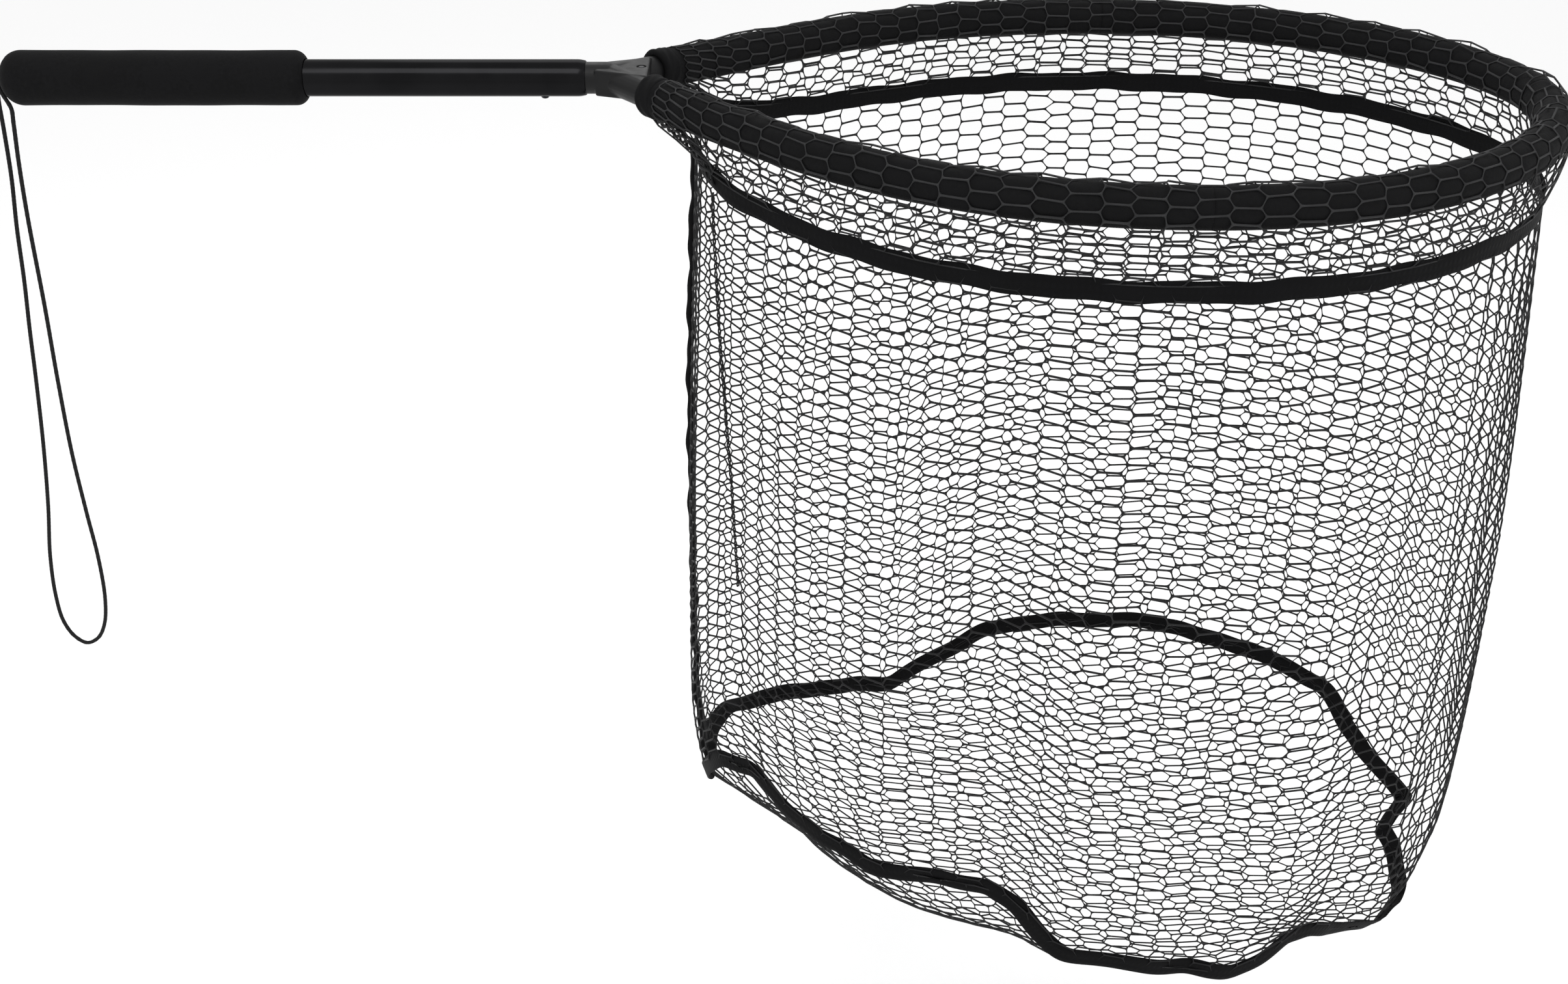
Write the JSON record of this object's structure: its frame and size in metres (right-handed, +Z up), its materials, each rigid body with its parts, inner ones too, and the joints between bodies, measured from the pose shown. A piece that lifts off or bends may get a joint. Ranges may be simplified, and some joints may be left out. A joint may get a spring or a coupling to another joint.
{
  "type": "landing net",
  "caption": "Landing net with a foam-gripped tube handle, a moulded yoke locked by a snap button, a foam-floated egg-shaped hoop, a deep net bag and a wrist cord.",
  "frame": {"origin": "middle of the grip, on the handle's axis", "axes": "+X along the handle towards the hoop, +Y across the hoop, +Z up out of the hoop's mouth; the bag hangs along -Z"},
  "size_m": [1.1255, 0.464, 0.6587],
  "materials": {
    "anodised": "black anodised, semi-gloss",
    "grip_foam": "fine closed-cell foam, matte",
    "float_foam": "closed-cell foam, matte",
    "nylon": "moulded, satin",
    "steel": "plain steel",
    "black_steel": "black oxide",
    "netting": "knotless coated mesh, matte",
    "webbing": "woven tape, matte",
    "cordage": "braided, matte"
  },
  "bodies": {
    "handle": {"handle_tube": "anodised", "grip": "grip_foam", "butt_plug": "nylon", "wrist_cord": "cordage", "cord_knot": "cordage"},
    "head": {"yoke": "nylon", "yoke_screw": "black_steel", "hoop_screw_far": "black_steel", "hoop_screw_near": "black_steel", "hoop_tube": "anodised", "float_rear_far": "float_foam", "float_front_far": "float_foam", "float_front_near": "float_foam", "float_rear_near": "float_foam", "net_skirt": "netting", "upper_tape": "webbing", "bag_wall": "netting", "lower_tape": "webbing", "bag_bottom": "netting", "seam_tape": "webbing", "snap_spring": "steel"},
    "button": {"snap_button": "steel"}
  },
  "joints": [
    {"name": "head_release", "type": "slide", "parent": "handle", "child": "head", "axis": [1, 0, 0], "range_m": [0, 0.06], "deforming": ["snap_button"]},
    {"name": "button_press", "type": "slide", "parent": "head", "child": "button", "axis": [0, 0, 1], "range_m": [0, 0.0037], "stiffness_N_per_m": 800, "springref_m": -0.002, "deforming": ["snap_spring"]}
  ]
}
